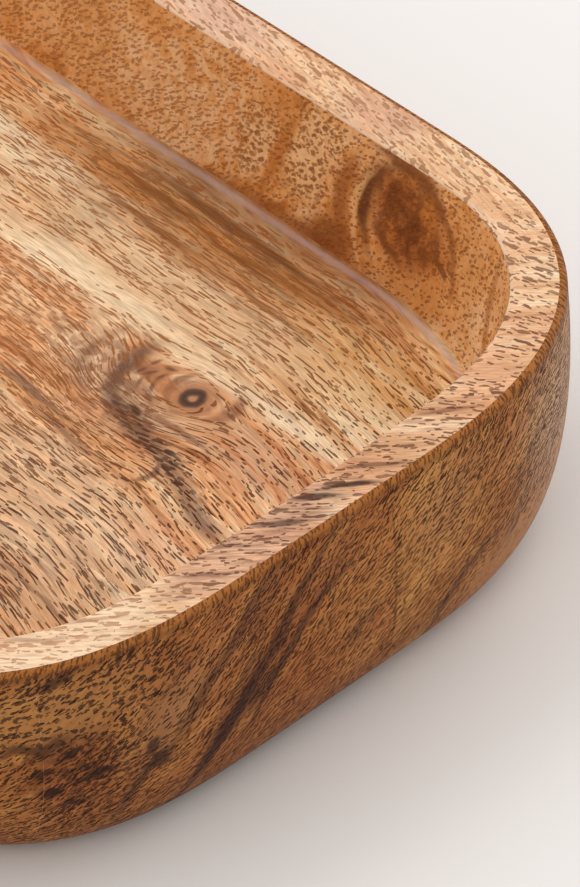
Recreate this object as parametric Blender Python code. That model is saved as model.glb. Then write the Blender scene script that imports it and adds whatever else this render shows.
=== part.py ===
"""Carved wooden tray: seven boards glued edge to edge and carved to one rounded form.

Metres, +Z up. The origin is under the middle of the base, +X runs along the grain to one end,
and the boards lie side by side along Y.
"""

import math
from itertools import pairwise

import bmesh
import bpy
from mathutils import Matrix, Vector

# Driving sizes of the tray
LENGTH = 0.300
HEIGHT = 0.059
BOARD_WIDTH = 0.0272
GLUE_LINE = 0.0003
RIM_WIDTH = 0.012
FLOOR_THICKNESS = 0.0135

# Plan of the outside: each corner starts this far from where the sides would meet
OUTER_CORNER_REACH = 0.074
OUTER_END_BOW = 0.0013

# Plan of the well: its corners open out by the growth from the rim down to the floor
WELL_CORNER_REACH = 0.051
WELL_CORNER_GROWTH = 0.027
WELL_END_BOW = 0.0055

# Section of the walls
BASE_INSET = 0.017
WALL_LEAN = 0.001
COVE_RADIUS = 0.005
RIM_OUTER_ROUND = 0.0015
RIM_INNER_ROUND = 0.001

# The form cutters and raw boards run past the tray by this much
OVERRUN = 0.005

# Exponents of the rounded forms: 2 is an ellipse, more is fuller
CORNER_FULLNESS = 2.6
SIDE_FULLNESS = 2.3

# Facets along each rounded stretch
CORNER_STEPS = 14
END_STEPS = 8
SIDE_STEPS = 12
COVE_STEPS = 5
ROUND_STEPS = 3

# Each board with the colour of its wood as seen, from left (-Y) to right (+Y)
BOARDS = (
    ("left_side_board", (0.55, 0.36, 0.22)),
    ("left_outer_board", (0.62, 0.42, 0.27)),
    ("left_inner_board", (0.66, 0.45, 0.29)),
    ("centre_board", (0.61, 0.40, 0.25)),
    ("right_inner_board", (0.64, 0.42, 0.27)),
    ("right_outer_board", (0.80, 0.63, 0.43)),
    ("right_side_board", (0.62, 0.37, 0.17)),
)
WOOD_ROUGHNESS = 0.5

WIDTH = len(BOARDS) * BOARD_WIDTH + (len(BOARDS) - 1) * GLUE_LINE
QUARTER_TURN = math.pi / 2


def clear_scene():
    """Remove every object that the scene starts with."""
    for scene_object in list(bpy.data.objects):
        bpy.data.objects.remove(scene_object, do_unlink=True)


def new_collection(name):
    """Return a new collection linked to the scene."""
    collection = bpy.data.collections.new(name)
    bpy.context.scene.collection.children.link(collection)
    return collection


def quarter(steps, fullness):
    """Return points of a quarter of a rounded form with unit reach, from (0, 1) to (1, 0)."""
    points = []
    for step in range(steps + 1):
        angle = QUARTER_TURN * step / steps
        along = abs(math.sin(angle)) ** (2 / fullness)
        across = abs(math.cos(angle)) ** (2 / fullness)
        points.append((along, across))
    return points


def plan_outline(inset, reach, bow):
    """Return the plan of a rounded, slightly bowed rectangle inset from the tray's outside."""
    half_length = LENGTH / 2 - inset
    half_width = WIDTH / 2 - inset
    reach = min(reach, half_length, half_width)
    straight = half_width - reach
    corner = [
        (half_length - reach + reach * along, straight + reach * across)
        for along, across in quarter(CORNER_STEPS, CORNER_FULLNESS)
    ]
    end = [
        (half_length, straight * (1 - 2 * step / END_STEPS))
        for step in range(1, END_STEPS)
    ]
    half = corner + end + [(x, -y) for x, y in reversed(corner)]
    half = [(x - bow * (y / half_width) ** 2, y) for x, y in half]
    return half + [(-x, -y) for x, y in half]


def outer_section():
    """Return (inset, height) pairs up the outside, from the base to the rim's flat top."""
    side_height = HEIGHT - RIM_OUTER_ROUND
    section = [
        (BASE_INSET * (1 - out), side_height * (1 - down))
        for out, down in quarter(SIDE_STEPS, SIDE_FULLNESS)
    ]
    for step in range(1, ROUND_STEPS + 1):
        angle = QUARTER_TURN * step / ROUND_STEPS
        section.append(
            (
                RIM_OUTER_ROUND * (1 - math.cos(angle)),
                side_height + RIM_OUTER_ROUND * math.sin(angle),
            )
        )
    return section


def well_section():
    """Return (inset, height) pairs up the well, from its floor to just above the rim."""
    wall_foot = RIM_WIDTH + WALL_LEAN
    section = []
    for step in range(COVE_STEPS + 1):
        angle = QUARTER_TURN * step / COVE_STEPS
        section.append(
            (
                wall_foot + COVE_RADIUS * (1 - math.sin(angle)),
                FLOOR_THICKNESS + COVE_RADIUS * (1 - math.cos(angle)),
            )
        )
    for step in range(ROUND_STEPS + 1):
        angle = QUARTER_TURN * step / ROUND_STEPS
        section.append(
            (
                RIM_WIDTH - RIM_INNER_ROUND * (1 - math.cos(angle)),
                HEIGHT - RIM_INNER_ROUND * (1 - math.sin(angle)),
            )
        )
    section.append((RIM_WIDTH - RIM_INNER_ROUND, HEIGHT + OVERRUN))
    return section


def loft(name, rings, collection):
    """Join plan rings, from the lowest up, into one closed solid used as a cutter."""
    mesh = bmesh.new()
    loops = [[mesh.verts.new(point) for point in ring] for ring in rings]
    for lower, upper in pairwise(loops):
        for index in range(len(lower)):
            mesh.faces.new((lower[index - 1], lower[index], upper[index], upper[index - 1]))
    mesh.faces.new(loops[0])
    mesh.faces.new(loops[-1])
    bmesh.ops.recalc_face_normals(mesh, faces=mesh.faces)
    data = bpy.data.meshes.new(name)
    mesh.to_mesh(data)
    mesh.free()
    form = bpy.data.objects.new(name, data)
    form.display_type = "WIRE"
    form.hide_render = True
    collection.objects.link(form)
    return form


def outer_form(collection):
    """Make the solid whose outside is the tray's outside."""
    rings = [
        [(x, y, height) for x, y in plan_outline(inset, OUTER_CORNER_REACH - inset, OUTER_END_BOW)]
        for inset, height in outer_section()
    ]
    return loft("outer_form", rings, collection)


def well_form(collection):
    """Make the solid that is carved out of the boards to leave the well."""
    rings = []
    for inset, height in well_section():
        depth_share = max(HEIGHT - height, 0) / (HEIGHT - FLOOR_THICKNESS)
        reach = WELL_CORNER_REACH + RIM_WIDTH - inset + WELL_CORNER_GROWTH * depth_share
        plan = plan_outline(inset, reach, WELL_END_BOW)
        rings.append([(x, y, height) for x, y in plan])
    return loft("well_form", rings, collection)


def wood(name, colour):
    """Return the plain oiled wood of one board."""
    material = bpy.data.materials.new(name + "_wood")
    material.use_nodes = True
    surface = material.node_tree.nodes["Principled BSDF"]
    surface.inputs["Base Color"].default_value = (*colour, 1)
    surface.inputs["Roughness"].default_value = WOOD_ROUGHNESS
    surface.inputs["Metallic"].default_value = 0
    return material


def raw_board(name, collection):
    """Return a plain board, longer and taller than the tray, before carving."""
    size = Vector((LENGTH + 2 * OVERRUN, BOARD_WIDTH, HEIGHT + 2 * OVERRUN))
    mesh = bmesh.new()
    bmesh.ops.create_cube(mesh, size=1, matrix=Matrix.Diagonal((*size, 1)))
    data = bpy.data.meshes.new(name)
    mesh.to_mesh(data)
    mesh.free()
    board = bpy.data.objects.new(name, data)
    collection.objects.link(board)
    return board


def carve(board, operation, form):
    """Shape the board by one of the two forms."""
    cut = board.modifiers.new(form.name, "BOOLEAN")
    cut.operation = operation
    cut.solver = "EXACT"
    cut.object = form


def main():
    """Glue up the boards and carve them."""
    clear_scene()
    tray = new_collection("carved_wooden_tray")
    cutters = new_collection("carving_forms")
    outside = outer_form(cutters)
    well = well_form(cutters)
    base_centre = bpy.data.objects.new("base_centre", None)
    tray.objects.link(base_centre)
    pitch = BOARD_WIDTH + GLUE_LINE
    for index, (name, colour) in enumerate(BOARDS):
        board = raw_board(name, tray)
        board.parent = base_centre
        board.location = (0, pitch * (index - (len(BOARDS) - 1) / 2), HEIGHT / 2)
        board.data.materials.append(wood(name, colour))
        carve(board, "INTERSECT", outside)
        carve(board, "DIFFERENCE", well)


main()
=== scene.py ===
"""Carved wooden tray: the look of its seven glued boards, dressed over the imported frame.

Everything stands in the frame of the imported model, in metres: +X runs along the boards to the
end that the camera sees, +Y across them to the far wall, and +Z up. The materials measure in
millimetres.
"""

import logging
import math
from dataclasses import dataclass
from enum import Enum, IntEnum
from functools import partial

import bmesh
import bpy
from mathutils import Matrix, Vector


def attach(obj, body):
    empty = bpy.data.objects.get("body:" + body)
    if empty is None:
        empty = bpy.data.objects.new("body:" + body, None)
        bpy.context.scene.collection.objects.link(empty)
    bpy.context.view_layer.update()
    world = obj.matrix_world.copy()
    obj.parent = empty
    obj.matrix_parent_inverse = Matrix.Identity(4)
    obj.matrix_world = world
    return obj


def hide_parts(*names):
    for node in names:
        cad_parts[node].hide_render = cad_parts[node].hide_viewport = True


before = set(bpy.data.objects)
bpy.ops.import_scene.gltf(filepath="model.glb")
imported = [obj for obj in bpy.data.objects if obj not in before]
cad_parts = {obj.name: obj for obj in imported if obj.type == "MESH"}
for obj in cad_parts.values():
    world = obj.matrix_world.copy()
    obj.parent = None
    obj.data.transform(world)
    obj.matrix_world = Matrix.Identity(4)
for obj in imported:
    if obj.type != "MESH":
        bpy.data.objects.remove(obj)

LOG = logging.getLogger("carved_wooden_tray")
MM = 0.001
QUARTER_TURN = math.pi / 2
UP = Vector((0, 0, 1))
ALONG_THE_BOARDS = (1.0, 0.0, 0.0)
NOISE_MEAN = (0.5, 0.5, 0.5)
CM_PER_MM = 0.1

Feeds = dict[str | int, object] | None
Triple = tuple[float, float, float]
Span = tuple[float, float]


class Surface(Enum):
    """The surfaces of the tray, each finished in its own way, with their material's place."""

    UNDERSIDE = 0
    OUTSIDE = 1
    RIM = 2
    WELL_WALL = 3
    FLOOR = 4
    GLUED_FACE = 5


class Axis(IntEnum):
    """The axes of the tray, by their place in a vector."""

    ALONG = 0
    ACROSS = 1
    UPWARD = 2


class Kind(Enum):
    """The kinds of node that the scene is made of."""

    SHADER = "ShaderNodeBsdfPrincipled"
    OUTPUT = "ShaderNodeOutputMaterial"
    COORDINATES = "ShaderNodeTexCoord"
    MATH = "ShaderNodeMath"
    VECTOR = "ShaderNodeVectorMath"
    MIX = "ShaderNodeMix"
    RANGE = "ShaderNodeMapRange"
    RAMP = "ShaderNodeValToRGB"
    NOISE = "ShaderNodeTexNoise"
    CELLS = "ShaderNodeTexVoronoi"
    MAPPING = "ShaderNodeMapping"
    SPLIT = "ShaderNodeSeparateXYZ"
    JOIN = "ShaderNodeCombineXYZ"
    TURN = "ShaderNodeVectorRotate"
    BUMP = "ShaderNodeBump"
    GROUP = "ShaderNodeGroup"
    GROUP_START = "NodeGroupInput"
    GROUP_END = "NodeGroupOutput"
    RAYS = "ShaderNodeLightPath"
    BACKGROUND = "ShaderNodeBackground"
    MIX_SHADERS = "ShaderNodeMixShader"
    WORLD_OUTPUT = "ShaderNodeOutputWorld"


def add_node(tree: bpy.types.NodeTree, kind: Kind, feeds: Feeds = None, **settings: object) -> bpy.types.Node:
    """Add one node with its settings and links.

    Args:
        tree: the node tree that gets the node.
        kind: the kind of node.
        feeds: for each input, by name or place, a value, or the node or output that feeds it.
        settings: the node's own settings.

    Returns:
        The new node.
    """
    node = tree.nodes.new(kind.value)
    for name, value in settings.items():
        setattr(node, name, value)
    for key, value in (feeds or {}).items():
        if isinstance(key, int):
            socket = node.inputs[key]
        else:
            socket = next(entry for entry in node.inputs if entry.enabled and entry.name == key)
        if isinstance(value, bpy.types.Node):
            value = next(entry for entry in value.outputs if entry.enabled)
        if isinstance(value, bpy.types.NodeSocket):
            tree.links.new(value, socket)
        else:
            socket.default_value = value
    return node


def linear(code: str) -> tuple[float, float, float, float]:
    """Turn an sRGB hex colour into Blender's linear one, by the standard's own curve.

    Args:
        code: six hex digits, with or without a leading mark.

    Returns:
        Red, green, blue and full opacity.
    """
    channels = [int(code.lstrip("#")[start : start + 2], 16) / 255 for start in (0, 2, 4)]
    red, green, blue = (
        value / 12.92 if value <= 0.04045 else ((value + 0.055) / 1.055) ** 2.4 for value in channels
    )
    return (red, green, blue, 1.0)


def quarter(steps: int, fullness: float = 2.0) -> list[tuple[float, float]]:
    """Return points of a quarter of a rounded form with unit reach.

    Args:
        steps: the number of facets.
        fullness: the exponent of the form, 2 for a circle and more for a fuller corner.

    Returns:
        Pairs from (0, 1) to (1, 0).
    """
    power = 2 / fullness
    angles = [QUARTER_TURN * step / steps for step in range(steps + 1)]
    return [(abs(math.sin(angle)) ** power, abs(math.cos(angle)) ** power) for angle in angles]


@dataclass(frozen=True)
class CarvedForm:
    """The carved form of the whole tray, from the same sizes as its solids but with finer steps."""

    length: float = 300.0 * MM
    height: float = 59.0 * MM
    board_width: float = 27.2 * MM
    glue_line: float = 0.3 * MM
    board_count: int = 7
    rim_width: float = 12.0 * MM
    floor_thickness: float = 13.5 * MM
    outer_reach: float = 74.0 * MM
    outer_bow: float = 1.3 * MM
    well_reach: float = 51.0 * MM
    well_growth: float = 27.0 * MM
    well_bow: float = 5.5 * MM
    base_inset: float = 17.0 * MM
    wall_lean: float = 1.0 * MM
    cove_radius: float = 5.0 * MM
    outer_round: float = 1.5 * MM
    inner_round: float = 1.0 * MM
    corner_fullness: float = 2.6
    side_fullness: float = 2.3
    edge_loop: float = 0.4 * MM
    corner_steps: int = 48
    end_steps: int = 16
    side_steps: int = 22
    wall_steps: int = 4
    cove_steps: int = 10
    round_steps: int = 6

    @property
    def width(self) -> float:
        """Return the width over all boards."""
        return self.board_count * self.board_width + (self.board_count - 1) * self.glue_line

    @property
    def pitch(self) -> float:
        """Return the distance from one board to the next."""
        return self.board_width + self.glue_line

    def outline(self, inset: float, reach: float, bow: float) -> list[tuple[float, float]]:
        """Return the plan of a rounded rectangle with slightly bowed ends.

        Args:
            inset: the distance in from the tray's outside.
            reach: how far each corner runs from where the sides would meet.
            bow: how much further out the middle of an end stands than its sides.

        Returns:
            The points of the plan in order.
        """
        half_length = self.length / 2 - inset
        half_width = self.width / 2 - inset
        straight = half_width - reach
        corner = [
            (half_length - reach + reach * along, straight + reach * across)
            for along, across in quarter(self.corner_steps, self.corner_fullness)
        ]
        end = [(half_length, straight * (1 - 2 * step / self.end_steps)) for step in range(1, self.end_steps)]
        half = corner + end + [(x, -y) for x, y in reversed(corner)]
        half = [(x - bow * (y / half_width) ** 2, y) for x, y in half]
        return half + [(-x, -y) for x, y in half]

    def outer_ring(self, inset: float, height: float) -> list[Vector]:
        """Return the outline of the outside at one height."""
        plan = self.outline(inset, self.outer_reach - inset, self.outer_bow)
        return [Vector((x, y, height)) for x, y in plan]

    def well_ring(self, inset: float, height: float) -> list[Vector]:
        """Return the outline of the well at one height; its corners open out towards the floor."""
        depth_share = (self.height - height) / (self.height - self.floor_thickness)
        reach = self.well_reach + self.rim_width - inset + self.well_growth * depth_share
        plan = self.outline(inset, reach, self.well_bow)
        return [Vector((x, y, height)) for x, y in plan]

    def outside_levels(self) -> list[tuple[Surface, list[Vector]]]:
        """Return the outlines from the middle of the underside up to the rim's flat top."""
        side_height = self.height - self.outer_round
        levels = [(Surface.UNDERSIDE, self.outer_ring(self.base_inset + self.edge_loop, 0))]
        levels.append((Surface.UNDERSIDE, self.outer_ring(self.base_inset, 0)))
        for out, down in quarter(self.side_steps, self.side_fullness)[1:]:
            ring = self.outer_ring(self.base_inset * (1 - out), side_height * (1 - down))
            levels.append((Surface.OUTSIDE, ring))
        for step in range(1, self.round_steps + 1):
            angle = QUARTER_TURN * step / self.round_steps
            inset = self.outer_round * (1 - math.cos(angle))
            ring = self.outer_ring(inset, side_height + self.outer_round * math.sin(angle))
            levels.append((Surface.OUTSIDE, ring))
        levels.append((Surface.RIM, self.outer_ring(self.outer_round + self.edge_loop, self.height)))
        return levels

    def well_levels(self) -> list[tuple[Surface, list[Vector]]]:
        """Return the outlines from the rim's flat top down to the floor of the well."""
        rim_end = self.rim_width - self.inner_round
        levels = [(Surface.RIM, self.well_ring(rim_end - self.edge_loop, self.height))]
        levels.append((Surface.RIM, self.well_ring(rim_end, self.height)))
        for step in range(1, self.round_steps + 1):
            angle = QUARTER_TURN * step / self.round_steps
            inset = rim_end + self.inner_round * math.sin(angle)
            ring = self.well_ring(inset, self.height - self.inner_round * (1 - math.cos(angle)))
            levels.append((Surface.RIM, ring))
        top = self.height - self.inner_round
        foot = self.floor_thickness + self.cove_radius
        for step in range(1, self.wall_steps + 1):
            share = step / self.wall_steps
            ring = self.well_ring(self.rim_width + self.wall_lean * share, top + (foot - top) * share)
            levels.append((Surface.WELL_WALL, ring))
        for step in range(1, self.cove_steps + 1):
            angle = QUARTER_TURN * step / self.cove_steps
            inset = self.rim_width + self.wall_lean + self.cove_radius * (1 - math.cos(angle))
            ring = self.well_ring(inset, foot - self.cove_radius * math.sin(angle))
            levels.append((Surface.FLOOR, ring))
        last = self.rim_width + self.wall_lean + self.cove_radius + self.edge_loop
        levels.append((Surface.FLOOR, self.well_ring(last, self.floor_thickness)))
        return levels


FORM = CarvedForm()


@dataclass(frozen=True)
class Board:
    """One board of the glued blank, counted from the left."""

    name: str
    place: int

    @property
    def node(self) -> str:
        """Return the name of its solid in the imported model."""
        return self.name + "_board"

    @property
    def slot(self) -> str:
        """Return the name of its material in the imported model."""
        return self.name + "_wood"


NAMES = ("left_side", "left_outer", "left_inner", "centre", "right_inner", "right_outer", "right_side")
BOARDS = tuple(Board(name, place) for place, name in enumerate(NAMES))


@dataclass(frozen=True)
class CarvedTray:
    """The tray's skin, carved as one form and then sawn along its glue lines into seven boards."""

    form: CarvedForm
    boards: tuple[Board, ...]
    shown_gap: float = 0.03 * MM
    smooth_angle: float = math.radians(32)

    def carve_skin(self) -> bpy.types.Object:
        """Draw the whole tray up from its base outline, one extruded outline after another."""
        levels = self.form.outside_levels() + self.form.well_levels()
        first = levels[0][1]
        bpy.ops.object.select_all(action="DESELECT")
        bpy.ops.mesh.primitive_circle_add(vertices=len(first), radius=self.form.length / 2, fill_type="NGON")
        skin = bpy.context.object
        bpy.ops.object.mode_set(mode="EDIT")
        mesh = bmesh.from_edit_mesh(skin.data)
        step = mesh.verts.layers.int.new("outline_step")
        level = mesh.verts.layers.int.new("outline_level")
        for vertex in mesh.verts:
            vertex[step] = vertex.index
            vertex.co = first[vertex.index]
        for number, (_, ring) in enumerate(levels[1:], start=1):
            bpy.ops.mesh.extrude_region_move()
            mesh = bmesh.from_edit_mesh(skin.data)
            step = mesh.verts.layers.int["outline_step"]
            level = mesh.verts.layers.int["outline_level"]
            for vertex in mesh.verts:
                if vertex.select:
                    vertex.co = ring[vertex[step]]
                    vertex[level] = number
        for face in mesh.faces:
            number = max(vertex[level] for vertex in face.verts)
            face.material_index = levels[number][0].value
        bmesh.update_edit_mesh(skin.data)
        bpy.ops.mesh.select_all(action="SELECT")
        bpy.ops.mesh.normals_make_consistent(inside=False)
        bpy.ops.object.mode_set(mode="OBJECT")
        return skin

    def joint(self, number: int) -> float:
        """Return where the joint below one board lies across the tray."""
        return self.form.pitch * (number - self.form.board_count / 2)

    def saw_board(self, skin: bpy.types.Object, board: Board) -> bpy.types.Object:
        """Saw one board out of a copy of the skin and close its glued faces.

        Args:
            skin: the skin of the whole tray.
            board: the board to saw out.

        Returns:
            The board's piece.
        """
        piece = bpy.data.objects.new(board.node + "_carved", skin.data.copy())
        bpy.context.collection.objects.link(piece)
        bpy.ops.object.select_all(action="DESELECT")
        piece.select_set(True)
        bpy.context.view_layer.objects.active = piece
        bpy.ops.object.mode_set(mode="EDIT")
        low = self.joint(board.place) + self.shown_gap / 2
        high = self.joint(board.place + 1) - self.shown_gap / 2
        if board.place:
            bpy.ops.mesh.select_all(action="SELECT")
            bpy.ops.mesh.bisect(plane_co=(0, low, 0), plane_no=(0, 1, 0), use_fill=True, clear_inner=True)
            self.mark_cut(piece, low)
        if board.place < self.form.board_count - 1:
            bpy.ops.mesh.select_all(action="SELECT")
            bpy.ops.mesh.bisect(plane_co=(0, high, 0), plane_no=(0, 1, 0), use_fill=True, clear_outer=True)
            self.mark_cut(piece, high)
        bpy.ops.mesh.select_all(action="SELECT")
        bpy.ops.mesh.normals_make_consistent(inside=False)
        bpy.ops.object.mode_set(mode="OBJECT")
        bpy.ops.object.shade_smooth_by_angle(angle=self.smooth_angle)
        return piece

    def mark_cut(self, piece: bpy.types.Object, across: float) -> None:
        """Give the face sawn at one place its own surface, if all its corners lie on the cut."""
        mesh = bmesh.from_edit_mesh(piece.data)
        for face in mesh.faces:
            if all(abs(vertex.co.y - across) < self.shown_gap / 4 for vertex in face.verts):
                face.material_index = Surface.GLUED_FACE.value
        bmesh.update_edit_mesh(piece.data)

    def build(self, finishes: dict[Surface, bpy.types.Material]) -> list[bpy.types.Object]:
        """Make, dress and declare every board.

        Args:
            finishes: the material of each surface.

        Returns:
            The boards' pieces.
        """
        skin = self.carve_skin()
        pieces = []
        for board in self.boards:
            piece = self.saw_board(skin, board)
            for surface in Surface:
                piece.data.materials.append(finishes[surface])
            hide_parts(board.node)
            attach(piece, "root")
            pieces.append(piece)
            LOG.info("%s: %d faces", piece.name, len(piece.data.polygons))
        bpy.data.objects.remove(skin, do_unlink=True)
        return pieces


class Group:
    """A group of nodes that the finishes share."""

    def __init__(
        self, name: str, vectors: tuple[str, ...], sizes: tuple[str, ...] = (), output: str = "Float"
    ) -> None:
        """Start a group.

        Args:
            name: what the group draws.
            vectors: the inputs that are vectors.
            sizes: the inputs that are single values.
            output: the type of its one output, named Result.
        """
        self.tree = bpy.data.node_groups.new(name, "ShaderNodeTree")
        self.add = partial(add_node, self.tree)
        for kind, entries in (("Vector", vectors), ("Float", sizes)):
            for entry in entries:
                self.tree.interface.new_socket(name=entry, in_out="INPUT", socket_type="NodeSocket" + kind)
        self.tree.interface.new_socket(name="Result", in_out="OUTPUT", socket_type="NodeSocket" + output)
        self.read = self.add(Kind.GROUP_START).outputs

    def close(self, result: bpy.types.Node) -> bpy.types.NodeTree:
        """Give the group its result and return it."""
        self.add(Kind.GROUP_END, {"Result": result})
        return self.tree


# Where the surfaces lie, in millimetres
FLOOR_LEVEL = 13.5
RIM_LEVEL = 59.0
END_FACE = 148.0
FAR_FACE = 83.5
KNOT_PLACE = (59.2, 35.0, FLOOR_LEVEL)

# The knot's rings: the distance from its middle in centimetres, the colour and how much it covers
KNOT_RINGS = (
    (0.0, "#B98D6B", 1.0),
    (0.07, "#B78560", 1.0),
    (0.13, "#5C4236", 0.95),
    (0.2, "#43302A", 0.95),
    (0.28, "#5A4136", 0.9),
    (0.35, "#B07A54", 0.75),
    (0.45, "#B98059", 0.6),
    (0.52, "#93603F", 0.45),
    (0.66, "#93603F", 0.0),
)


@dataclass(frozen=True)
class PoreShape:
    """The outline of the open pores, and how far one differs from the next."""

    scatter: float = 0.9
    lean: float = 0.12
    lengths: Span = (0.26, 0.62)
    widths: Span = (0.6, 0.38)
    strengths: Span = (0.7, 1.0)
    outer_edge: float = 1.25
    inner_edge: float = 0.85
    softening: float = 0.8

    def build(self) -> bpy.types.NodeTree:
        """Build one layer of open pores: a rounded dash in each cell, lying along the grain.

        Returns:
            The group, which measures in millimetres.
        """
        sizes = ("Spacing", "Length", "Width", "Share", "Soft")
        group = Group("open_pores", ("Place", "Normal", "Grain", "Shift"), sizes)
        add, read = group.add, group.read
        place = add(Kind.VECTOR, {0: read["Place"], 1: read["Shift"]}, operation="ADD")
        scale = add(Kind.MATH, {0: 1.0, 1: read["Spacing"]}, operation="DIVIDE")
        cells = add(Kind.CELLS, {"Vector": place, "Scale": scale, "Randomness": self.scatter}, feature="F1")
        chance = add(Kind.SPLIT, {0: cells.outputs["Color"]}).outputs
        away = add(Kind.VECTOR, {0: place, 1: cells.outputs["Position"]}, operation="SUBTRACT")
        side = add(Kind.VECTOR, {0: read["Normal"], 1: read["Grain"]}, operation="CROSS_PRODUCT")
        along = add(Kind.VECTOR, {0: away, 1: read["Grain"]}, operation="DOT_PRODUCT").outputs["Value"]
        across = add(Kind.VECTOR, {0: away, 1: side}, operation="DOT_PRODUCT").outputs["Value"]
        # Pores differ in lean, length, width and strength from one to the next
        ranges = {}
        for name, source, (low, high) in (
            ("lean", 1, (-self.lean, self.lean)),
            ("length", 0, self.lengths),
            ("width", 1, self.widths),
            ("strength", 0, self.strengths),
        ):
            ranges[name] = add(Kind.RANGE, {"Value": chance[source], "To Min": low, "To Max": high})
        across = add(Kind.MATH, {0: along, 1: ranges["lean"], 2: across}, operation="MULTIPLY_ADD")
        length = add(Kind.MATH, {0: read["Length"], 1: ranges["length"]}, operation="MULTIPLY")
        width = add(Kind.MATH, {0: read["Width"], 1: ranges["width"]}, operation="MULTIPLY")
        # The ends are blunt, because the run counts by its fourth power
        run = add(Kind.MATH, {0: along, 1: length}, operation="DIVIDE")
        run = add(Kind.MATH, {0: run, 1: run}, operation="MULTIPLY")
        run = add(Kind.MATH, {0: run, 1: run}, operation="MULTIPLY")
        off = add(Kind.MATH, {0: across, 1: width}, operation="DIVIDE")
        reach = add(Kind.MATH, {0: off, 1: off, 2: run}, operation="MULTIPLY_ADD")
        outer = add(Kind.MATH, {0: read["Soft"], 1: self.outer_edge}, operation="ADD")
        feeds = {0: read["Soft"], 1: -self.softening, 2: self.inner_edge}
        inner = add(Kind.MATH, feeds, operation="MULTIPLY_ADD")
        feeds = {"Value": reach, "From Min": outer, "From Max": inner}
        dash = add(Kind.RANGE, feeds, interpolation_type="SMOOTHSTEP")
        dash = add(Kind.MATH, {0: dash, 1: ranges["strength"]}, operation="MULTIPLY")
        there = add(Kind.MATH, {0: chance[2], 1: read["Share"]}, operation="LESS_THAN")
        return group.close(add(Kind.MATH, {0: dash, 1: there}, operation="MULTIPLY"))


def figure_group() -> bpy.types.NodeTree:
    """Build one soft figure in the wood: an ellipse that may be long, narrow and bent.

    Returns:
        The group, whose reach is in millimetres.
    """
    group = Group("wood_figure", ("Place", "Centre", "Turn", "Reach"), ("Bend", "Core"))
    add, read = group.add, group.read
    feeds = {"Vector": read["Place"], "Location": read["Centre"]}
    feeds |= {"Rotation": read["Turn"], "Scale": read["Reach"]}
    local = add(Kind.SPLIT, {0: add(Kind.MAPPING, feeds, vector_type="TEXTURE")}).outputs
    square = add(Kind.MATH, {0: local[0], 1: local[0]}, operation="MULTIPLY")
    bent = add(Kind.MATH, {0: square, 1: read["Bend"], 2: local[1]}, operation="MULTIPLY_ADD")
    joined = add(Kind.JOIN, {0: local[0], 1: bent, 2: local[2]})
    reach = add(Kind.VECTOR, {0: joined}, operation="LENGTH").outputs["Value"]
    feeds = {"Value": reach, "From Min": 1.0, "From Max": read["Core"]}
    return group.close(add(Kind.RANGE, feeds, interpolation_type="SMOOTHSTEP"))


def wall_grain_group() -> bpy.types.NodeTree:
    """Build the direction of the grain on a wall: so far up from level, whatever way the wall faces.

    Returns:
        The group, which gives a direction in the surface.
    """
    group = Group("wall_grain", ("Normal",), ("Rise",), output="Vector")
    add, read = group.add, group.read
    level = add(Kind.VECTOR, {0: tuple(UP), 1: read["Normal"]}, operation="CROSS_PRODUCT")
    level = add(Kind.VECTOR, {0: level}, operation="NORMALIZE")
    feeds = {"Vector": level, "Axis": read["Normal"], "Angle": read["Rise"]}
    return group.close(add(Kind.TURN, feeds, rotation_type="AXIS_ANGLE"))


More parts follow.
